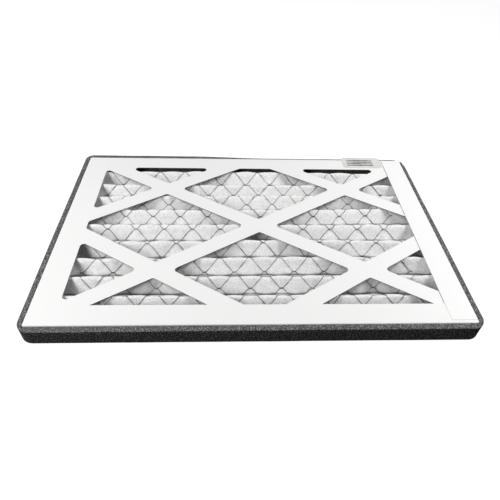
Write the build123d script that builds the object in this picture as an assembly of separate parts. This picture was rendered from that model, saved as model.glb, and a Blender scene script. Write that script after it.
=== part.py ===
from build123d import *
from math import atan2, ceil, cos, degrees, floor, hypot, sin
import os

# Pleated panel air filter, in millimetres, +Z up, origin in the middle of the underside.
# X is the long side. The air leaves through the top face, where the support grid lies.

# --- driving dimensions -------------------------------------------------------------------

# die-cut beverage-board frame
frame_length = 451.0        # along X, over the side walls
frame_width = 299.0         # along Y, over the end walls
frame_height = 20.5         # over the lapped flanges
board = 0.7                 # board thickness
fold_inside_radius = 0.5    # inside radius of a creased fold
corner_relief = 1.5         # notch where two folds meet
fit_gap = 0.2               # clearance between the two folded halves
flange_side = 27.5          # lapped flange along a side wall
flange_end = 25.0           # lapped flange along an end wall
flange_setback = 4.0        # side flange stops this far short of the end folds

# lattice cut in each face
border_side = 29.0          # visible border next to the folded side wall
border_end = 25.5           # visible border next to the folded end wall
border_lapped = 15.0        # narrow border hidden under the other half's flange
strap = 20.0                # width of a diagonal strap
window_radius = 4.0         # rounded corners of the windows

# pleated media
media = 1.2                 # sheet thickness
pleat_pitch = 28.35         # crest to crest along Y
first_crest = 2.0           # first crest, in from the end wall
media_side_gap = 0.5        # pack to the glue flaps
media_end_gap = 1.5         # cut front edge to the end wall
seat_gap = 0.05             # pack to the lattice above and below

# expanded-metal support grid on the top of the media
strand_width = 1.1
strand_thickness = 0.45
diamond_long_way = 34.0     # node to node along a pleat
rows_per_pleat = 3          # rows of nodes in one pleat, crest to crest
grid_side_inset = 26.0      # cut side edge of the grid, in from the side walls
grid_end_inset = 27.5       # the grid covers each flank that comes further in than this
grid_gap = 0.05             # adhesive line between media and grid

# foam gasket strip round the walls
foam = 6.5                  # thickness of the strip
foam_joint = 3.0            # the strip starts this far short of the last corner

# paper label on the top face
label_length = 57.0
label_width = 27.5
label_thickness = 0.15
label_corner = 6.0
label_margin = 2.0          # label to the edge of the lapped side flange
label_overhang = 6.0        # label runs past the end fold, over the foam

# --- worked-out places --------------------------------------------------------------------

half_length = frame_length / 2
half_width = frame_width / 2
face_top = frame_height - board             # top of the lattice face, under the lapped flange
face_under = face_top - board               # underside of the lattice face
pack_low = 2 * board + seat_gap
pack_high = face_under - seat_gap


def folded_board(plane, corners, length):
    """A board sheet creased through corners, which run clockwise along its outer surface."""
    outside = FilletPolyline(*corners, radius=fold_inside_radius + board)
    section = make_face(offset(outside, board, side=Side.RIGHT))
    return extrude(plane * section, length)


# --- lattice windows ----------------------------------------------------------------------


def lattice_windows():
    """The windows of one face: what is left between the borders and the diagonal straps."""
    # The die cuts the face and its side glue flap in one pattern, so the lattice is centred
    # on both together, half a wall height off the middle of the frame.
    step_x = (frame_length + frame_height) / 4
    step_y = frame_width / 4
    centre_x = frame_height / 2
    x_low = -half_length + border_side
    x_high = half_length - border_lapped
    y_low = -half_width + border_lapped
    y_high = half_width - border_end
    opening = Pos((x_low + x_high) / 2, (y_low + y_high) / 2) * Rectangle(x_high - x_low, y_high - y_low)

    # A strap along each diagonal of the face and along each side of the middle rhombus.
    slope = degrees(atan2(step_y, step_x))
    reach = 3 * hypot(step_x, step_y)
    for lean in (-1, 1):
        for shift in (-2 * step_x, 0, 2 * step_x):
            opening -= Pos(centre_x + shift) * Rot(0, 0, lean * slope) * Rectangle(2 * reach, strap)
    return fillet(opening.vertices(), window_radius)


# --- frame halves -------------------------------------------------------------------------


def frame_half():
    """Lattice face on top, walls on the left and rear, flanges lapped under the other face."""
    # Left flange, left wall, face and right glue flap are one strip of board.
    flap_right = half_length - board - fit_gap
    strip_front = -half_width + board + fold_inside_radius
    strip_rear = half_width - corner_relief
    strip = folded_board(
        Plane.XZ.offset(-strip_rear),
        [
            (-half_length + flange_side, 0),
            (-half_length, 0),
            (-half_length, face_top),
            (flap_right, face_top),
            (flap_right, 2 * board + fold_inside_radius),
        ],
        strip_rear - strip_front,
    )
    # The left flange stops short of both end folds.
    for end in (-1, 1):
        strip -= Pos(-half_length, end * half_width, board / 2) * Box(
            3 * flange_side, 2 * flange_setback, board
        )

    # The rear wall, with its flange below and a lip that runs into the face.
    rear_left = -half_length + corner_relief
    rear_right = half_length - board - fold_inside_radius
    rear = folded_board(
        Plane.YZ.offset(rear_left),
        [
            (half_width - border_end / 2, face_top),
            (half_width, face_top),
            (half_width, 0),
            (half_width - flange_end, 0),
        ],
        rear_right - rear_left,
    )
    # The rear flange is cut away round the end of the left flange.
    notch_x = -half_length + flange_side + fit_gap
    notch_y = half_width - flange_setback + fit_gap
    rear -= Pos(notch_x, notch_y, board / 2) * Box(
        2 * flange_side, 2 * flange_end, board, align=(Align.MAX, Align.MAX, Align.CENTER)
    )

    windows = extrude(Pos(0, 0, face_under) * lattice_windows(), board)
    return strip + rear - windows


def other_half(half):
    """The same blank folded the other way and turned end for end, to close the frame."""
    middle = Plane.XY.offset(frame_height / 2)
    return Rot(0, 0, 180) * mirror(half, about=middle)


# --- pleated media and its grid -----------------------------------------------------------

# The grid lies on the media, and its folds touch the upper lattice, so the height left for
# the pleats follows from both thicknesses. All flanks have one slope, and a sheet of thickness
# t is t * slope_factor high on it. Each pass halves the error of the pass before, or better.
half_pitch = pleat_pitch / 2
slope_factor = hypot(half_pitch, pack_high - pack_low) / half_pitch
slope_passes = 20
for _ in range(slope_passes):
    crest_z = pack_high - (media / 2 + grid_gap + strand_thickness) * slope_factor
    valley_z = pack_low + media / 2 * slope_factor
    slope_factor = hypot(half_pitch, crest_z - valley_z) / half_pitch

crest_y = half_width - board - first_crest
media_front = -half_width + board + media_end_gap


def zigzag(front):
    """Centreline of the media in the YZ plane, from the first crest to the cut front edge."""
    points = []
    flanks = ceil((crest_y - front) / half_pitch)
    for fold in range(flanks):
        points.append((crest_y - fold * half_pitch, valley_z if fold % 2 else crest_z))
    last_y, last_z = points[-1]
    rise = crest_z - valley_z if last_z == valley_z else valley_z - crest_z
    points.append((front, last_z + rise * (last_y - front) / half_pitch))
    return points


def pleated_media():
    """One sheet scored and folded to and fro, with sharp folds."""
    length = frame_length - 2 * (2 * board + fit_gap + media_side_gap)
    middle = Polyline(*zigzag(media_front))
    upper = make_face(offset(middle, media / 2, kind=Kind.INTERSECTION, side=Side.LEFT))
    lower = make_face(offset(middle, media / 2, kind=Kind.INTERSECTION, side=Side.RIGHT))
    return extrude(Plane.YZ * (upper + lower), length / 2, both=True)


def wire_grid():
    """Expanded metal folded with the pleats. Each flank is one flat strip of diamonds."""
    length = frame_length - 2 * grid_side_inset
    flank = hypot(half_pitch, crest_z - valley_z)
    row = 2 * flank / rows_per_pleat
    lean = atan2(row, diamond_long_way / 2)
    half_long = diamond_long_way / 2 - strand_width / (2 * sin(lean))
    half_short = row - strand_width / (2 * cos(lean))
    diamond = Polygon((half_long, 0), (0, half_short), (-half_long, 0), (0, -half_short), align=None)
    columns = ceil(length / diamond_long_way / 2) + 1

    def flank_strip(first_row):
        """The strands of one flank, from the row number first_row at its upper edge."""
        last_row = first_row + flank / row
        openings = []
        for number in range(floor(first_row) - 1, ceil(last_row) + 2):
            stagger = 0.5 * (number % 2)
            for column in range(-columns, columns + 1):
                x = (column + stagger) * diamond_long_way
                openings.append(Pos(x, (first_row - number) * row) * diamond)
        strip = Rectangle(length, flank, align=(Align.CENTER, Align.MAX))
        return strip - openings

    # The strips differ only in the row they start on, so only the distinct ones are drawn.
    reach = half_width - grid_end_inset
    lift = (media / 2 + grid_gap) * slope_factor
    folds = zigzag(media_front)
    strips = {}
    flanks = []
    for index in range(len(folds) - 1):
        (top_y, top_z), (foot_y, foot_z) = folds[index], folds[index + 1]
        if foot_y > reach or top_y < -reach:
            continue
        start = index * flank / row % 2
        key = round(start, 6)
        if key not in strips:
            strips[key] = flank_strip(start)
        uphill = Vector(0, top_y - foot_y, top_z - foot_z)
        along = Vector(1, 0, 0)
        flank_plane = Plane((0, top_y, top_z + lift), x_dir=along, z_dir=along.cross(uphill))
        thickness = strand_thickness * slope_factor
        flanks.append(extrude(flank_plane * strips[key], thickness, dir=(0, 0, 1)))
    # Snippets that hang on no node fall off the cut edges.
    folded = flanks[0] + flanks[1:]
    return folded.solids().sort_by(SortBy.VOLUME)[-1]


# --- gasket and label ---------------------------------------------------------------------


def foam_gasket():
    """One foam strip bent round the walls, its two ends meeting at the rear right corner."""
    around = Rectangle(frame_length + 2 * foam, frame_width + 2 * foam)
    bent = around.vertices().sort_by(lambda corner: corner.X + corner.Y)[:-1]
    ring = fillet(bent, foam) - Rectangle(frame_length, frame_width)
    corner = Pos(half_length - foam_joint, half_width)
    ring -= corner * Rectangle(2 * foam + 2 * foam_joint, 2 * foam, align=Align.MIN)
    return extrude(Pos(0, 0, board) * ring, frame_height - 2 * board)


def label():
    """A paper sticker on the rear border, its far edge laid over the foam."""
    right = half_length - flange_side - label_margin
    rear = half_width + label_overhang
    sticker = RectangleRounded(label_length, label_width, label_corner)
    sticker = Pos(right - label_length / 2, rear - label_width / 2) * sticker
    return extrude(Pos(0, 0, face_top) * sticker, label_thickness)


# --- write each piece ---------------------------------------------------------------------

top_half = frame_half()
pieces = {
    "outlet_frame_half": top_half,
    "inlet_frame_half": other_half(top_half),
    "pleated_media": pleated_media(),
    "wire_grid": wire_grid(),
    "foam_gasket": foam_gasket(),
    "label": label(),
}

os.makedirs("parts", exist_ok=True)
for name, shape in pieces.items():
    export_step(shape, f"parts/{name}.step")
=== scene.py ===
from math import ceil, cos, floor, hypot, pi, radians, sin

import bpy
import numpy as np
from mathutils import Euler, Matrix, Vector


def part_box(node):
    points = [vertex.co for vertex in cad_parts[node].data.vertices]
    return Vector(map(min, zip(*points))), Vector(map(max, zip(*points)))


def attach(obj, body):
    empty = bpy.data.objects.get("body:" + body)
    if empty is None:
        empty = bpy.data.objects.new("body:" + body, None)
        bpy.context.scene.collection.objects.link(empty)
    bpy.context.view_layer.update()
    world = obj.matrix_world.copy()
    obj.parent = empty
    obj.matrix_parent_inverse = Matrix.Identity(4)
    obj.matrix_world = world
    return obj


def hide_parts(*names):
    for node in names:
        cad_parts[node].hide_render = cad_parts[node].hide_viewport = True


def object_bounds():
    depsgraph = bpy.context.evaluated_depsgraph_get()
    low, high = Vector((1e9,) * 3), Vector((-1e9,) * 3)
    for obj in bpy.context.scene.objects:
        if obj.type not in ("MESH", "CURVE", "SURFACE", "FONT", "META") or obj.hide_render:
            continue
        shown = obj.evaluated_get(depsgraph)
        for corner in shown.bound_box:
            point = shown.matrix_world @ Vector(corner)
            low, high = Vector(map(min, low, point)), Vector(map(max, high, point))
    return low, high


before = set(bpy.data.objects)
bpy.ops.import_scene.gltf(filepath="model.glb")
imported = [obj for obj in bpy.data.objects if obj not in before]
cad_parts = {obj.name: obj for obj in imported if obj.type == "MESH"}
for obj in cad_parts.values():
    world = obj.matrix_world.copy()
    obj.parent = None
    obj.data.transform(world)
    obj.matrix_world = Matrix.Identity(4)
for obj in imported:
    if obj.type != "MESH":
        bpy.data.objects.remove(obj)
cad_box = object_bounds()

# --- board frame halves -------------------------------------------------------------------
# Two die-cut blanks of white-coated beverage board, creased, folded and glued over each
# other. The outside is smooth and faintly mottled; the inside and the cut edges are bare
# board, painted near black as shade.

board_white = (0.88, 0.88, 0.875, 1)
board_cloudy = (0.78, 0.78, 0.775, 1)
# bare board painted near black: painted shade for the cut edges and the inside
bare_board_shade = (0.16, 0.155, 0.145, 1)
board = 0.0007                  # thickness
board_low, board_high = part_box("outlet_frame_half")
frame_half_length = -board_low[0]
frame_half_width = board_high[1]
face_top = board_high[2]        # top of the lattice face, which the lapped flanges lie on
wall_depth = 0.003              # no folded wall reaches further in than this


def node_group(name, inputs, outputs):
    """A shader node group with the named sockets, and its input and output nodes."""
    group = bpy.data.node_groups.new(name, "ShaderNodeTree")
    for label, kind, value in inputs:
        socket = group.interface.new_socket(label, in_out="INPUT", socket_type=kind)
        if value is not None:
            socket.default_value = value
    for label, kind in outputs:
        group.interface.new_socket(label, in_out="OUTPUT", socket_type=kind)
    return group, group.nodes.new("NodeGroupInput"), group.nodes.new("NodeGroupOutput")


def math_node(tree, operation, first, second=0.0, third=0.0):
    """A math node whose inputs are numbers or other nodes' sockets. Returns its output."""
    node = tree.nodes.new("ShaderNodeMath")
    node.operation = operation
    for socket, value in zip(node.inputs, (first, second, third)):
        if isinstance(value, (int, float)):
            socket.default_value = value
        else:
            tree.links.new(value, socket)
    return node.outputs[0]


def ramp(tree, value, low, high, low_to=0.0, high_to=1.0):
    """Maps value from low..high to low_to..high_to with a smooth step."""
    node = tree.nodes.new("ShaderNodeMapRange")
    node.interpolation_type = "SMOOTHSTEP"
    tree.links.new(value, node.inputs["Value"])
    node.inputs["From Min"].default_value = low
    node.inputs["From Max"].default_value = high
    node.inputs["To Min"].default_value = low_to
    node.inputs["To Max"].default_value = high_to
    return node.outputs["Result"]


def mix_colour(tree, factor, first, second):
    """Mixes two colours, each a tuple or another node's socket. Returns the mixed colour."""
    node = tree.nodes.new("ShaderNodeMix")
    node.data_type = "RGBA"
    tree.links.new(factor, node.inputs[0])
    for socket, value in zip((node.inputs[6], node.inputs[7]), (first, second)):
        if isinstance(value, tuple):
            socket.default_value = value
        else:
            tree.links.new(value, socket)
    return node.outputs[2]


def place_group(tree, group, **values):
    """Puts a node group in a material, with a number or another node's socket for each input."""
    node = tree.nodes.new("ShaderNodeGroup")
    node.node_tree = group
    for label, value in values.items():
        socket = node.inputs[label.replace("_", " ")]
        if isinstance(value, (int, float)):
            socket.default_value = value
        else:
            tree.links.new(value, socket)
    return node


def new_material(name, roughness, specular):
    """A material with a Principled BSDF, its node tree, and the object's own coordinates."""
    material = bpy.data.materials.new(name)
    material.use_nodes = True
    tree = material.node_tree
    shader = tree.nodes["Principled BSDF"]
    shader.inputs["Roughness"].default_value = roughness
    shader.inputs["Specular IOR Level"].default_value = specular
    place = tree.nodes.new("ShaderNodeTexCoord").outputs["Object"]
    return material, tree, shader, place


def split(tree, vector):
    """The X, Y and Z of a vector, as the outputs of one node."""
    node = tree.nodes.new("ShaderNodeSeparateXYZ")
    tree.links.new(vector, node.inputs[0])
    return node


def facing_up(tree):
    """1 where the surface faces up, 0 where it stands upright, -1 where it faces down."""
    geometry = tree.nodes.new("ShaderNodeNewGeometry")
    return split(tree, geometry.outputs["True Normal"]).outputs["Z"]


def add_bump(tree, shader, height, distance, strength=1.0):
    """Feeds a height into the shader's normal. The distance is in metres."""
    bump = tree.nodes.new("ShaderNodeBump")
    bump.inputs["Strength"].default_value = strength
    bump.inputs["Distance"].default_value = distance
    tree.links.new(height, bump.inputs["Height"])
    tree.links.new(bump.outputs["Normal"], shader.inputs["Normal"])


def mottle_group():
    """Cloudy unevenness of a pale surface and its fine grain, shared by board and paper."""
    group, given, made = node_group(
        "mottle",
        [
            ("Place", "NodeSocketVector", None),
            ("Cloud Scale", "NodeSocketFloat", 30.0),
            ("Grain Scale", "NodeSocketFloat", 1500.0),
        ],
        [("Cloud", "NodeSocketFloat"), ("Grain", "NodeSocketFloat")],
    )
    for label, scale, detail in (("Cloud", "Cloud Scale", 4.0), ("Grain", "Grain Scale", 3.0)):
        noise = group.nodes.new("ShaderNodeTexNoise")
        noise.inputs["Detail"].default_value = detail
        group.links.new(given.outputs["Place"], noise.inputs["Vector"])
        group.links.new(given.outputs[scale], noise.inputs["Scale"])
        group.links.new(noise.outputs["Fac"], made.inputs[label])
    return group


mottle = mottle_group()


def board_material():
    """Coated board: pale and faintly cloudy outside, bare inside and on its cut edges, where
    painted shade makes it near black.
    """
    material, tree, shader, place = new_material("coated_board", 0.5, 0.35)
    surface = place_group(tree, mottle, Place=place, Cloud_Scale=28.0, Grain_Scale=1800.0)
    clouds = ramp(tree, surface.outputs["Cloud"], 0.3, 0.7, 0.0, 0.08)
    white = mix_colour(tree, clouds, board_white, board_cloudy)

    # A cut edge stands upright and lies inside the folded walls. The bare inside of the blank
    # looks into the pack, between the undersides of the two faces. Both are painted near black,
    # as painted shade.
    axes = split(tree, place)
    steepness = math_node(tree, "ABSOLUTE", facing_up(tree))
    upright = math_node(tree, "LESS_THAN", steepness, 0.5)

    def within(margin):
        """1 where the place lies more than margin inside the walls."""
        along = math_node(tree, "ABSOLUTE", axes.outputs["X"])
        across = math_node(tree, "ABSOLUTE", axes.outputs["Y"])
        clear_x = math_node(tree, "LESS_THAN", along, frame_half_length - margin)
        clear_y = math_node(tree, "LESS_THAN", across, frame_half_width - margin)
        return math_node(tree, "MULTIPLY", clear_x, clear_y)

    cut = math_node(tree, "MULTIPLY", upright, within(wall_depth))
    above = math_node(tree, "GREATER_THAN", axes.outputs["Z"], 1.9 * board)
    below = math_node(tree, "LESS_THAN", axes.outputs["Z"], face_top - 0.9 * board)
    between = math_node(tree, "MULTIPLY", above, below)
    in_pack = math_node(tree, "MULTIPLY", between, within(0.5 * board))
    bare = math_node(tree, "MAXIMUM", cut, in_pack)
    tree.links.new(mix_colour(tree, bare, white, bare_board_shade), shader.inputs["Base Color"])
    satin = ramp(tree, surface.outputs["Cloud"], 0.3, 0.7, 0.42, 0.58)
    tree.links.new(satin, shader.inputs["Roughness"])
    add_bump(tree, shader, surface.outputs["Grain"], 0.00003)
    return material


def dress(node_name, material):
    """Gives a CAD node its finish."""
    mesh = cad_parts[node_name].data
    mesh.materials.clear()
    mesh.materials.append(material)


coated_board = board_material()
dress("outlet_frame_half", coated_board)
dress("inlet_frame_half", coated_board)

# --- pleated media ------------------------------------------------------------------------
# One sheet of soft white filter felt, scored and folded to and fro by the pleater. It is
# bonded to the wire grid, so it bulges through the diamonds and its folds run in waves.

felt_thick = (0.9, 0.9, 0.895, 1)
felt_thin = (0.82, 0.82, 0.815, 1)
# painted highlight for the fold tops
crest_highlight_white = (0.96, 0.96, 0.955, 1)
# painted shade for the foot of each groove
groove_shade_grey = (0.2, 0.2, 0.2, 1)
# painted shade for the felt along the rear wall
rear_shade_dark = (0.08, 0.08, 0.08, 1)
pore_grey = (0.3, 0.3, 0.3, 1)
media_low, media_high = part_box("pleated_media")
media_thickness = 0.0011
pleat_pitch = 0.02835
half_pitch = pleat_pitch / 2
first_crest_y = media_high[1] - 0.0004
crest_middle_z = 0.0166         # middle of the sheet on top of a fold
valley_middle_z = 0.00205       # middle of the sheet in the bottom of a fold
fold_softness = 0.0013          # half of the length that a fold is rounded over
flank_count = (first_crest_y - media_low[1]) / half_pitch
crest_highlight_depth = 0.0045              # the painted highlight begins this far below the middle of a fold
groove_shade_full, groove_shade_gone = 0.0036, 0.0058   # heights between which the painted groove shade fades out
rear_shade_begins, rear_shade_full = 0.0265, 0.0245     # painted rear shade begins and is full this far in from the rear edge of the felt
bulge = 0.001                   # of the felt in the middle of a diamond

# The folds are rounded by averaging the zigzag over fold_softness each way, which lowers
# each fold by half of the rise over that length. The zigzag is as much higher to begin with.
rise = crest_middle_z - valley_middle_z
fold_loss = fold_softness / 2 * rise / hypot(half_pitch, rise)
zigzag_high = crest_middle_z + fold_loss
zigzag_low = valley_middle_z - fold_loss
flank_length = hypot(half_pitch, zigzag_high - zigzag_low)
sheet_length = flank_count * flank_length

# How far each fold has crept to the front, from the rear one on, at four places along it.
creep_places = (-0.19, -0.07, 0.07, 0.19)
fold_creep = np.array([
    (0.0, 0.0, 0.0, 0.0),
    (2.5, 1.0, 0.9, 2.6),
    (5.3, 5.0, 4.0, 2.4),
    (3.3, 0.8, -1.5, -2.1),
    (2.1, 2.1, 0.4, -2.3),
    (2.4, 2.2, 1.9, 1.3),
    (4.6, 3.6, 1.2, 2.6),
    (4.7, 3.7, 2.0, 2.1),
    (3.7, 3.9, 3.5, 2.8),
    (2.4, 2.8, 2.8, 2.2),
    (0.8, 0.8, 0.8, 0.8),
    (0.0, 0.0, 0.0, 0.0),
]) / 1000

# Support grid pattern, which the felt follows: rows of nodes across the pleats.
node_spacing = 0.034            # node to node along a row
row_stagger = node_spacing / 2
first_node_x = -0.0032          # a node of the even rows
bond_half = 0.0012              # half the length of a bond
rows_per_pleat = 3.18
rows_front_flank = 1.29         # of them, on a flank that faces the front
rows_rear_flank = rows_per_pleat - rows_front_flank
first_row_offset = 0.0163       # from the second crest down to row 0


def smooth(value):
    """Smooth step from 0 to 1."""
    value = np.clip(value, 0, 1)
    return value * value * (3 - 2 * value)


def zigzag_height(run):
    """Height of the unrounded zigzag at the distance run along the sheet from the first crest."""
    phase = np.abs((run / flank_length) % 2 - 1)
    return zigzag_low + (zigzag_high - zigzag_low) * phase


def sheet_point(run):
    """Middle of the sheet in the YZ plane at a distance along it, and its upward normal."""
    samples = 9
    steps = np.linspace(-1, 1, samples) * fold_softness
    weights = np.ones(samples)
    weights[[0, -1]] = 0.5
    weights /= weights.sum()

    def height(at):
        return sum(w * zigzag_height(at + s) for w, s in zip(weights, steps))

    y = first_crest_y - run / flank_length * half_pitch
    z = height(run)
    probe = 0.0002
    dz = (height(run + probe) - height(run - probe)) / (2 * probe)
    dy = -half_pitch / flank_length
    size = np.hypot(dy, dz)
    return y, z, dz / size, -dy / size


def creep(x, run):
    """How far the sheet lies to the front of its even place, at x and a distance along it."""
    fold = np.clip(run / (2 * flank_length), 0, len(fold_creep) - 1.001)
    before = np.floor(fold).astype(int)
    share = fold - before
    place = np.interp(x, creep_places, np.arange(len(creep_places)))
    place = np.clip(place, 0, len(creep_places) - 1.001)
    left = np.floor(place).astype(int)
    along = smooth(place - left)
    near = fold_creep[before, left] * (1 - along) + fold_creep[before, left + 1] * along
    far = fold_creep[before + 1, left] * (1 - along) + fold_creep[before + 1, left + 1] * along
    return near * (1 - share) + far * share


def row_number(run):
    """Row number of the grid at a distance along the sheet. Row 0 lies below the second crest."""
    pleat = np.floor(run / (2 * flank_length))
    along = run / flank_length - 2 * pleat
    on_front = along * rows_front_flank
    on_rear = rows_front_flank + (along - 1) * rows_rear_flank
    on_pleat = np.where(along < 1, on_front, on_rear)
    first_row = first_row_offset / flank_length * rows_front_flank
    return (pleat - 1) * rows_per_pleat + on_pleat - first_row


def run_of_row(row):
    """The distance along the sheet where a row number lies."""
    from_crest = row + first_row_offset / flank_length * rows_front_flank + rows_per_pleat
    pleat = np.floor(from_crest / rows_per_pleat)
    on_pleat = from_crest - pleat * rows_per_pleat
    along = np.where(
        on_pleat < rows_front_flank,
        on_pleat / rows_front_flank,
        1 + (on_pleat - rows_front_flank) / rows_rear_flank,
    )
    return (2 * pleat + along) * flank_length


def strand_climb(share):
    """How much of the way to the next row a strand has gone, at a share of its reach along X."""
    return 0.2 * smooth(share) + 0.8 * np.clip(share, 0, 1)


def in_diamond(x, row):
    """0 in the middle of a diamond of the grid, 1 on the strands round it."""
    best = np.full(np.broadcast(x, row).shape, 9.0)
    for nearest in (np.floor(row), np.floor(row) + 1):
        shift = first_node_x + row_stagger * ((nearest + 1) % 2)
        across = np.abs((x - shift + node_spacing / 2) % node_spacing - node_spacing / 2)
        slant = strand_climb((across - bond_half) / (row_stagger - 2 * bond_half))
        best = np.minimum(best, np.abs(row - nearest) + slant)
    return np.clip(best, 0, 1)


def waves(rng, x, y, length, count=7):
    """Gentle random unevenness between about -1 and 1, with waves of about the given length."""
    total = 0
    for _ in range(count):
        turn = rng.uniform(0, 2 * pi)
        pace = 2 * pi / length * rng.uniform(0.6, 1.5)
        total = total + np.sin(pace * (x * cos(turn) + y * sin(turn)) + rng.uniform(0, 2 * pi))
    return total / count ** 0.5 / 1.4


def add_piece(name, points, faces, material):
    """A mesh object made of points and faces, shaded smooth, with one material."""
    mesh = bpy.data.meshes.new(name)
    mesh.from_pydata([tuple(p) for p in points], [], [tuple(f) for f in faces])
    mesh.validate()
    mesh.shade_smooth()
    mesh.materials.append(material)
    piece = bpy.data.objects.new(name, mesh)
    bpy.context.scene.collection.objects.link(piece)
    return piece


def grid_faces(rows, columns, start=0, flipped=False):
    """Quads between rows x columns points that are numbered row by row from start."""
    low = (np.arange(rows - 1)[:, None] * columns + np.arange(columns - 1)).ravel() + start
    quads = np.stack([low, low + 1, low + columns + 1, low + columns], axis=1)
    return quads[:, ::-1] if flipped else quads


def media_mesh():
    """Points and faces of the felt: outlet side, inlet side and the cut edges."""
    rng = np.random.default_rng(11)
    x_step = 0.0026
    steps_per_flank = 13
    tuck_count = 26
    columns = ceil((media_high[0] - media_low[0]) / x_step) + 1
    rows = ceil(flank_count * steps_per_flank) + 1
    x = np.linspace(media_low[0], media_high[0], columns)[None, :]
    run = np.linspace(0, sheet_length, rows)[:, None]
    y, z, normal_y, normal_z = sheet_point(run)

    # The felt stands proud in the middle of each diamond and is held down along the strands.
    puff = bulge * smooth(1.25 * (1 - in_diamond(x, row_number(run))))
    puff = puff * (1 + 0.3 * waves(rng, x, run, 0.045))
    uneven = 0.0002 * waves(rng, x, run, 0.03) + 0.00012 * waves(rng, x, run, 0.009)

    # Short tucks where the felt was pinched by the pleater.
    tucks = 0
    for _ in range(tuck_count):
        tuck_x = rng.uniform(media_low[0], media_high[0])
        tuck_run = rng.uniform(0, sheet_length)
        lean = rng.uniform(-0.35, 0.35)
        across = (x - tuck_x - lean * (run - tuck_run)) / rng.uniform(0.0015, 0.0028)
        along = (run - tuck_run) / rng.uniform(0.005, 0.010)
        tucks = tucks - rng.uniform(0.0005, 0.0011) * np.exp(-(across ** 2) - along ** 2)

    # It flattens softly within a little room under the upper lattice, and stops at the lower.
    proud = puff + uneven + tucks
    room = 0.0006
    height_limit = face_top - board - 0.0002
    floor_limit = media_low[2] + 0.0001
    sides = []
    for offset in (media_thickness / 2 + proud, -media_thickness / 2 + 0.5 * proud):
        side_y = y - creep(x, run) + normal_y * offset
        side_z = z + normal_z * offset
        pressed = height_limit - room * np.exp(-np.maximum(side_z - height_limit + room, 0) / room)
        side_z = np.maximum(np.where(side_z > height_limit - room, pressed, side_z), floor_limit)
        side_y = np.clip(side_y, media_low[1], media_high[1])
        sides.append(np.stack(np.broadcast_arrays(x, side_y, side_z), axis=-1).reshape(-1, 3))
    points = np.concatenate(sides)
    count = rows * columns
    faces = [grid_faces(rows, columns, 0, flipped=True), grid_faces(rows, columns, count)]
    rims = []
    first, last = np.arange(columns), np.arange(columns) + (rows - 1) * columns
    left, right = np.arange(rows) * columns, np.arange(rows) * columns + columns - 1
    for rim, turned in ((first, False), (last, True), (left, True), (right, False)):
        quads = np.stack([rim[:-1], rim[1:], rim[1:] + count, rim[:-1] + count], axis=1)
        rims.append(quads[:, ::-1] if turned else quads)
    return points, np.concatenate(faces + rims)


def media_material():
    """Soft felt: off-white, fibrous, and a little darker where the fibres lie thinner."""
    material, tree, shader, place = new_material("filter_felt", 0.9, 0.0)
    surface = place_group(tree, mottle, Place=place, Cloud_Scale=75.0, Grain_Scale=900.0)
    thin = ramp(tree, surface.outputs["Cloud"], 0.35, 0.7, 0.0, 0.6)
    felt = mix_colour(tree, thin, felt_thick, felt_thin)

    # A painted highlight whitens the felt along the folds on top, and painted shade darkens
    # the foot of each groove. More painted shade darkens the felt along the rear wall.
    axes = split(tree, place)
    outlet_side = math_node(tree, "GREATER_THAN", facing_up(tree), 0.0)
    crest_highlight = ramp(tree, axes.outputs["Z"], crest_middle_z - crest_highlight_depth, crest_middle_z)
    crest_highlighted = mix_colour(tree, crest_highlight, felt, crest_highlight_white)
    foot = ramp(tree, axes.outputs["Z"], groove_shade_full, groove_shade_gone, 1.0, 0.0)
    groove_shade = math_node(tree, "MULTIPLY", foot, outlet_side)
    groove_shaded = mix_colour(tree, groove_shade, crest_highlighted, groove_shade_grey)
    rear_y = media_high[1]
    near_wall = ramp(tree, axes.outputs["Y"], rear_y - rear_shade_begins, rear_y - rear_shade_full)
    rear_shade = math_node(tree, "MULTIPLY", near_wall, outlet_side)
    rear_shaded = mix_colour(tree, rear_shade, groove_shaded, rear_shade_dark)

    # Fibres: fine noise drawn out and twisted, laid over a softer lumpiness.
    fibres = tree.nodes.new("ShaderNodeTexNoise")
    fibres.inputs["Scale"].default_value = 380.0
    fibres.inputs["Detail"].default_value = 6.0
    fibres.inputs["Distortion"].default_value = 2.5
    tree.links.new(place, fibres.inputs["Vector"])
    lumps = math_node(tree, "MULTIPLY", surface.outputs["Cloud"], 1.5)
    height = math_node(tree, "ADD", fibres.outputs["Fac"], lumps)
    add_bump(tree, shader, height, 0.0005, 0.9)
    pores = ramp(tree, fibres.outputs["Fac"], 0.38, 0.54, 0.34, 0.0)
    tree.links.new(mix_colour(tree, pores, rear_shaded, pore_grey), shader.inputs["Base Color"])
    shader.inputs["Sheen Weight"].default_value = 0.1
    shader.inputs["Sheen Roughness"].default_value = 0.6
    return material


media_points, media_faces = media_mesh()
filter_felt = add_piece("filter_felt_pleats", media_points, media_faces, media_material())
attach(filter_felt, "root")
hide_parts("pleated_media")

# --- support grid -------------------------------------------------------------------------
# Expanded metal, slit and stretched from thin galvanised sheet, bonded to the felt before
# pleating and folded with it. Each strand runs in a slight S from bond to bond.

steel_dark = (0.035, 0.035, 0.037, 1)
steel_bright = (0.3, 0.3, 0.305, 1)
grid_low, grid_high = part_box("wire_grid")
strand_width = 0.00066
strand_thickness = 0.00035
bond_width = 0.0013
bond_thickness = strand_thickness * 1.3
bond_overlap = 0.0004           # how far a bond runs over the strands that leave it
grid_lift = 0.0001              # over the felt where it is held down


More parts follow.
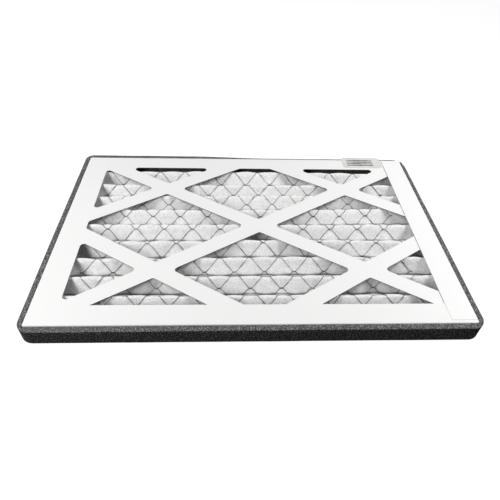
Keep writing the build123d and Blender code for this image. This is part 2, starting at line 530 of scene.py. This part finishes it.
def lay_bar(path_x, path_row, width, thickness, twist):
    """Corner points of a flat bar laid on the felt along a path, 4 to each place on the path."""
    run = run_of_row(path_row)
    y, z, normal_y, normal_z = sheet_point(run)
    middle = np.stack([path_x, y - creep(path_x, run), z], axis=1)
    up = np.stack([np.zeros_like(y), normal_y, normal_z], axis=1)
    ahead = np.gradient(middle, axis=0)
    side = np.cross(up, ahead)
    side /= np.linalg.norm(side, axis=1, keepdims=True)
    lift = media_thickness / 2 + grid_lift + thickness / 2
    corners = []
    for across, high in ((-1, -1), (1, -1), (1, 1), (-1, 1)):
        tilt = across * twist[:, None] * width / 2
        over_felt = lift + high * thickness / 2 + tilt
        corners.append(middle + side * across * width / 2 + up * over_felt)
    return np.stack(corners, axis=1).reshape(-1, 3)


def bar_faces(places, start):
    """Faces of a bar with four corners at each place, closed at both ends."""
    corner = np.arange(4)
    here = np.arange(places - 1)[:, None] * 4 + start + corner
    beside = np.arange(places - 1)[:, None] * 4 + start + (corner + 1) % 4
    sides = np.stack([here, beside, beside + 4, here + 4], axis=2).reshape(-1, 4)
    near_end = start + corner[::-1]
    far_end = start + 4 * (places - 1) + corner
    return np.concatenate([sides, [near_end, far_end]])


def grid_mesh():
    """Points and faces of all the strands and bonds."""
    rng = np.random.default_rng(5)
    bond_places, strand_places = 5, 13
    points, faces, start = [], [], 0
    first_run = (first_crest_y - grid_high[1]) / half_pitch * flank_length
    last_run = (first_crest_y - grid_low[1]) / half_pitch * flank_length
    first_row = ceil(float(row_number(np.array(first_run))))
    last_row = floor(float(row_number(np.array(last_run))))
    nodes_each_way = ceil(grid_high[0] / node_spacing)
    for row in range(first_row, last_row + 1):
        for column in range(-nodes_each_way, nodes_each_way + 1):
            node_x = first_node_x + column * node_spacing + row_stagger * (row % 2)
            if not grid_low[0] < node_x < grid_high[0]:
                continue
            # The bond, where two strands were never slit apart.
            path_x = node_x + np.linspace(-1, 1, bond_places) * (bond_half + bond_overlap)
            path_row = np.full(bond_places, float(row))
            bar = lay_bar(path_x, path_row, bond_width, bond_thickness, np.zeros(bond_places))
            points.append(bar)
            faces.append(bar_faces(bond_places, start))
            start += len(bar)
            if row == last_row:
                continue
            for way in (-1, 1):
                if not grid_low[0] < node_x + way * row_stagger < grid_high[0]:
                    continue
                # The strand, bent and twisted a little by the stretching.
                share = np.linspace(0, 1, strand_places)
                reach = row_stagger - 2 * bond_half
                path_x = node_x + way * (bond_half + reach * share)
                bend = strand_climb(share) + 0.06 * rng.uniform(-1, 0.6) * np.sin(pi * share)
                twist = way * np.sin(pi * share) * rng.uniform(0.2, 1.1)
                bar = lay_bar(path_x, row + bend, strand_width, strand_thickness, twist)
                points.append(bar)
                faces.append(bar_faces(strand_places, start))
                start += len(bar)
    return np.concatenate(points), np.concatenate(faces)


def grid_material():
    """Galvanised steel: dull and dark, with scattered brighter spangles."""
    material, tree, shader, place = new_material("galvanised_grid", 0.42, 0.5)
    surface = place_group(tree, mottle, Place=place, Cloud_Scale=160.0, Grain_Scale=2500.0)
    spangle = ramp(tree, surface.outputs["Cloud"], 0.35, 0.65)
    metal = mix_colour(tree, spangle, steel_dark, steel_bright)
    tree.links.new(metal, shader.inputs["Base Color"])
    dull = ramp(tree, surface.outputs["Cloud"], 0.3, 0.7, 0.55, 0.35)
    tree.links.new(dull, shader.inputs["Roughness"])
    shader.inputs["Metallic"].default_value = 0.6
    add_bump(tree, shader, surface.outputs["Grain"], 0.00002)
    return material


grid_points, grid_quads = grid_mesh()
support_grid = add_piece("support_grid_strands", grid_points, grid_quads, grid_material())
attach(support_grid, "root")
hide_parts("wire_grid")

# --- foam gasket --------------------------------------------------------------------------
# One strip of charcoal open-cell foam, cut square from a sheet and wound round the walls
# with its own adhesive. Its two ends meet at the rear right corner, which stays open.

# The cut sides and the top are one foam, in a dark painted-shade copy and a pale painted-light
# copy.
cut_dark, cut_pale = (0.03, 0.03, 0.031, 1), (0.25, 0.25, 0.25, 1)
lit_top_dark, lit_top_pale = (0.08, 0.08, 0.081, 1), (0.42, 0.42, 0.42, 1)
foam_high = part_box("foam_gasket")[1]
foam_width = foam_high[0] - frame_half_length
foam_joint = 0.003              # the rear strip ends this far short of the corner
foam_edge_round = 0.0009
front_round, rear_round = 0.0145, 0.011     # the strip's outside radius at the corners


def stretched(to_corner, corner_round):
    """Thickness of the strip at a distance from a corner, over which it is drawn tight."""
    back = corner_round - foam_width
    short = np.maximum(back - to_corner, 0)
    return np.sqrt(corner_round ** 2 - short ** 2) - back


def gasket_mesh():
    """Points and faces of the strip: one cross-section at each place round the frame."""
    rng = np.random.default_rng(23)
    step = 0.0022
    length, width = frame_half_length, frame_half_width
    no_round = foam_width
    walls = [
        ((length, width), (length, -width), (1, 0), no_round, front_round),
        ((length, -width), (-length, -width), (0, -1), front_round, front_round),
        ((-length, -width), (-length, width), (-1, 0), front_round, rear_round),
        ((-length, width), (length - foam_joint, width), (0, 1), rear_round, no_round),
    ]
    inner, outward, thickness = [], [], []
    for wall, (begin, end, away, round_before, round_after) in enumerate(walls):
        begin, end, away = np.array(begin), np.array(end), np.array(away, float)
        reach = np.linalg.norm(end - begin)
        share = np.linspace(0, 1, ceil(reach / step) + 1)
        inner.append(begin + (end - begin) * share[:, None])
        outward.append(np.tile(away, (len(share), 1)))
        from_begin = stretched(reach * share, round_before)
        from_end = stretched(reach * (1 - share), round_after)
        thickness.append(np.minimum(from_begin, from_end))
        if wall < len(walls) - 1:
            # Round the corner, fanned out to the rounded outside.
            following = np.array(walls[wall + 1][2], float)
            turn = np.linspace(0, pi / 2, 9)[1:-1]
            inner.append(np.tile(end, (len(turn), 1)))
            outward.append(away * np.cos(turn)[:, None] + following * np.sin(turn)[:, None])
            set_back = round_after - foam_width
            back = set_back * (np.cos(turn) + np.sin(turn))
            thickness.append(np.sqrt(back ** 2 - 2 * set_back ** 2 + round_after ** 2) - back)
    inner, outward = np.concatenate(inner), np.concatenate(outward)
    thickness = np.concatenate(thickness)

    # The strip is cut by hand and pressed on: its faces waver, it is drawn thinner along the
    # right side, and its top edge drops below the board at the rear and the front left corner.
    at_x, at_y = inner[:, 0], inner[:, 1]
    waver = waves(rng, at_x, at_y, 0.06)
    on_right = smooth((at_x - length + 0.01) / 0.01) * smooth((at_y + 0.06) / 0.2)
    thickness = thickness * (1 - 0.12 * on_right) - 0.0001 * (1.2 + waver)
    low_corner = smooth((-at_x + 0.1) / 0.33) * smooth((-at_y - 0.02) / 0.13)
    at_rear = smooth((at_y - width + 0.02) / 0.02) * smooth((at_x + 0.09) / 0.13)
    drop = 0.0001 + 0.0011 * low_corner + 0.0026 * at_rear
    drop = drop + 0.00015 * (1 + waves(rng, at_x, at_y, 0.05))
    top = foam_high[2] - drop
    bottom = np.full(len(inner), cad_box[0][2] + 0.0001)

    # The cross-section runs from the wall over the top edge, down the cut side and back
    # under the bottom edge. Each corner of it has a distance from the wall and a height.
    radius = foam_edge_round
    hollow = 0.0002 * np.abs(waver)
    section = [(share * thickness, top) for share in (0.0, 0.33, 0.66)]
    for angle in np.linspace(pi / 2, 0, 5):
        rounding = radius * (cos(angle) - 1)
        section.append((thickness + rounding, top + radius * (sin(angle) - 1)))
    for share in (0.75, 0.5, 0.25):
        section.append((thickness - hollow, bottom + share * (top - bottom)))
    for angle in np.linspace(0, -pi / 2, 5):
        rounding = radius * (cos(angle) - 1)
        section.append((thickness + rounding, bottom + radius * (sin(angle) + 1)))
    section += [(share * thickness, bottom) for share in (0.66, 0.33, 0.0)]

    columns = []
    for distance, height in section:
        columns.append(np.column_stack([inner + outward * distance[:, None], height]))
    points = np.stack(columns, axis=1).reshape(-1, 3)

    # The skin, then the side that is stuck to the wall, and the two cut ends.
    corners = len(section)
    faces = [tuple(f) for f in grid_faces(len(inner), corners)]
    for place in range(len(inner) - 1):
        at = place * corners
        faces.append((at, at + corners, at + 2 * corners - 1, at + corners - 1))
    faces.append(tuple(range(corners)))
    faces.append(tuple(reversed(range(len(points) - corners, len(points)))))
    return points, faces


def foam_material():
    """Open-cell foam: charcoal, speckled by its cells, with no gloss. Painted light makes the top
    paler and painted shade makes the cut sides darker.
    """
    material, tree, shader, place = new_material("charcoal_foam", 0.95, 0.0)
    cells = tree.nodes.new("ShaderNodeTexVoronoi")
    cells.inputs["Scale"].default_value = 800.0
    tree.links.new(place, cells.inputs["Vector"])
    surface = place_group(tree, mottle, Place=place, Cloud_Scale=120.0, Grain_Scale=700.0)
    pores = ramp(tree, cells.outputs["Distance"], 0.15, 0.7)
    speckle = ramp(tree, surface.outputs["Grain"], 0.42, 0.66)
    shade = math_node(tree, "MULTIPLY", pores, speckle)
    # painted shade on the cut sides, painted light on the top
    shaded_cut_side = mix_colour(tree, shade, cut_dark, cut_pale)
    painted_lit_top = mix_colour(tree, shade, lit_top_dark, lit_top_pale)
    on_top = ramp(tree, facing_up(tree), 0.4, 0.8)
    tree.links.new(mix_colour(tree, on_top, shaded_cut_side, painted_lit_top), shader.inputs["Base Color"])
    add_bump(tree, shader, shade, 0.0006, 0.9)
    return material


gasket_points, gasket_faces = gasket_mesh()
foam_strip = add_piece("foam_gasket_strip", gasket_points, gasket_faces, foam_material())
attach(foam_strip, "root")
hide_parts("foam_gasket")

# --- label --------------------------------------------------------------------------------
# A plain paper sticker, pressed on over the board and the foam. Four dark rules, worn here
# and there, are all that is printed on it: the sticker carries no words.

paper_pale = (0.72, 0.72, 0.71, 1)
paper_dull = (0.64, 0.64, 0.63, 1)
ink = (0.03, 0.03, 0.03, 1)
label_low, label_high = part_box("label")
rule_count = 4
rule_spacing = 0.0042
rule_width = 0.0024
rule_left = label_low[0] + 0.007
rule_right = label_high[0] - 0.012
rules_top = label_high[1] - 0.0065


def label_material():
    """Uncoated paper, greyer than the board, with its plain printed rules."""
    material, tree, shader, place = new_material("label_paper", 0.7, 0.25)
    surface = place_group(tree, mottle, Place=place, Cloud_Scale=60.0, Grain_Scale=2200.0)
    clouds = ramp(tree, surface.outputs["Cloud"], 0.3, 0.7)
    paper = mix_colour(tree, clouds, paper_pale, paper_dull)

    # The rules repeat down the label, and are kept within its printed part.
    axes = split(tree, place)
    below_top = math_node(tree, "SUBTRACT", rules_top, axes.outputs["Y"])
    below_rule = math_node(tree, "MODULO", below_top, rule_spacing)
    rules = math_node(tree, "LESS_THAN", below_rule, rule_width)
    for limit in (
        math_node(tree, "GREATER_THAN", below_top, 0.0),
        math_node(tree, "LESS_THAN", below_top, rule_count * rule_spacing),
        math_node(tree, "GREATER_THAN", axes.outputs["X"], rule_left),
        math_node(tree, "LESS_THAN", axes.outputs["X"], rule_right),
    ):
        rules = math_node(tree, "MULTIPLY", rules, limit)
    worn = ramp(tree, surface.outputs["Cloud"], 0.4, 0.6, 0.6, 0.95)
    printed = math_node(tree, "MULTIPLY", rules, worn)
    tree.links.new(mix_colour(tree, printed, paper, ink), shader.inputs["Base Color"])
    add_bump(tree, shader, surface.outputs["Grain"], 0.00003)
    return material


dress("label", label_material())

# --- floor and studio ---------------------------------------------------------------------
# A wide pale floor under a white surround. A soft lamp stands on the left, a weaker one on
# the right and the weakest in front on the left, so that the grooves keep dark corners.

floor_grey = (0.2, 0.2, 0.2, 1)
floor_lift = 0.95               # added where the floor is seen, straight or in a reflection
fill_strength = 0.01            # of the surround on the object. It is 1 where it is seen.


def seen_rays(tree):
    """1 for what is seen straight, in a reflection or through glass, 0 for light and shade."""
    rays = tree.nodes.new("ShaderNodeLightPath")
    seen = math_node(tree, "ADD", rays.outputs["Is Camera Ray"], rays.outputs["Is Glossy Ray"])
    return math_node(tree, "ADD", seen, rays.outputs["Is Transmission Ray"])


def floor_material():
    """Matt pale floor, lifted to white where it is seen. It keeps the shadows."""
    material = bpy.data.materials.new("studio_floor")
    material.use_nodes = True
    tree = material.node_tree
    shader = tree.nodes["Principled BSDF"]
    shader.inputs["Base Color"].default_value = floor_grey
    shader.inputs["Roughness"].default_value = 0.9
    shader.inputs["Specular IOR Level"].default_value = 0.0
    lift = math_node(tree, "MULTIPLY", seen_rays(tree), floor_lift)
    shader.inputs["Emission Color"].default_value = (1, 1, 1, 1)
    tree.links.new(lift, shader.inputs["Emission Strength"])
    return material


def studio_world():
    """A white surround: plain fill on the object, full white where it is seen."""
    world = bpy.data.worlds.new("studio_surround")
    world.use_nodes = True
    tree = world.node_tree
    seen = math_node(tree, "MINIMUM", seen_rays(tree), 1.0)
    strength = ramp(tree, seen, 0.0, 1.0, fill_strength, 1.0)
    background = tree.nodes["Background"]
    background.inputs["Color"].default_value = (1, 1, 1, 1)
    tree.links.new(strength, background.inputs["Strength"])
    bpy.context.scene.world = world


lamp_size = 0.4


def add_lamp(name, place, power):
    """A square soft lamp at place that faces the middle of the panel."""
    data = bpy.data.lights.new(name, "AREA")
    data.shape = "SQUARE"
    data.size = lamp_size
    data.energy = power
    lamp = bpy.data.objects.new(name, data)
    lamp.location = place
    lamp.rotation_mode = "QUATERNION"
    lamp.rotation_quaternion = (-Vector(place)).to_track_quat("-Z", "Y")
    bpy.context.scene.collection.objects.link(lamp)


floor_half = 4.0
floor_level = cad_box[0][2] - 0.0002
floor_corners = [
    (-floor_half, -floor_half, floor_level),
    (floor_half, -floor_half, floor_level),
    (floor_half, floor_half, floor_level),
    (-floor_half, floor_half, floor_level),
]
studio_floor = add_piece("studio_floor", floor_corners, [(0, 1, 2, 3)], floor_material())
studio_world()
add_lamp("left_lamp", (-0.9, -0.05, 0.75), 8.2)
add_lamp("right_lamp", (0.7, 0.08, 0.62), 6.3)
add_lamp("front_lamp", (-0.72, -0.72, 0.6), 4.2)

# --- camera -------------------------------------------------------------------------------
# A fairly wide lens above and before the front edge. It is turned a little to the right,
# tipped down and rolled a little.

camera_place = (-0.02679, -0.41281, 0.3735)
camera_turn, camera_tip, camera_roll = radians(-3.787), radians(46.295), radians(2.676)
camera_data = bpy.data.cameras.new("bench_camera")
camera_data.sensor_width = 36.0
camera_data.lens = 31.995
camera_data.clip_start = 0.02
camera_data.clip_end = 50.0
bench_camera = bpy.data.objects.new("bench_camera", camera_data)
aim = Euler((0, 0, camera_turn)).to_matrix() @ Euler((camera_tip, 0, 0)).to_matrix()
aim = aim @ Euler((0, 0, camera_roll)).to_matrix()
bench_camera.matrix_world = Matrix.Translation(camera_place) @ aim.to_4x4()
bpy.context.scene.collection.objects.link(bench_camera)
bpy.context.scene.camera = bench_camera

bpy.context.scene.view_settings.view_transform = "Standard"
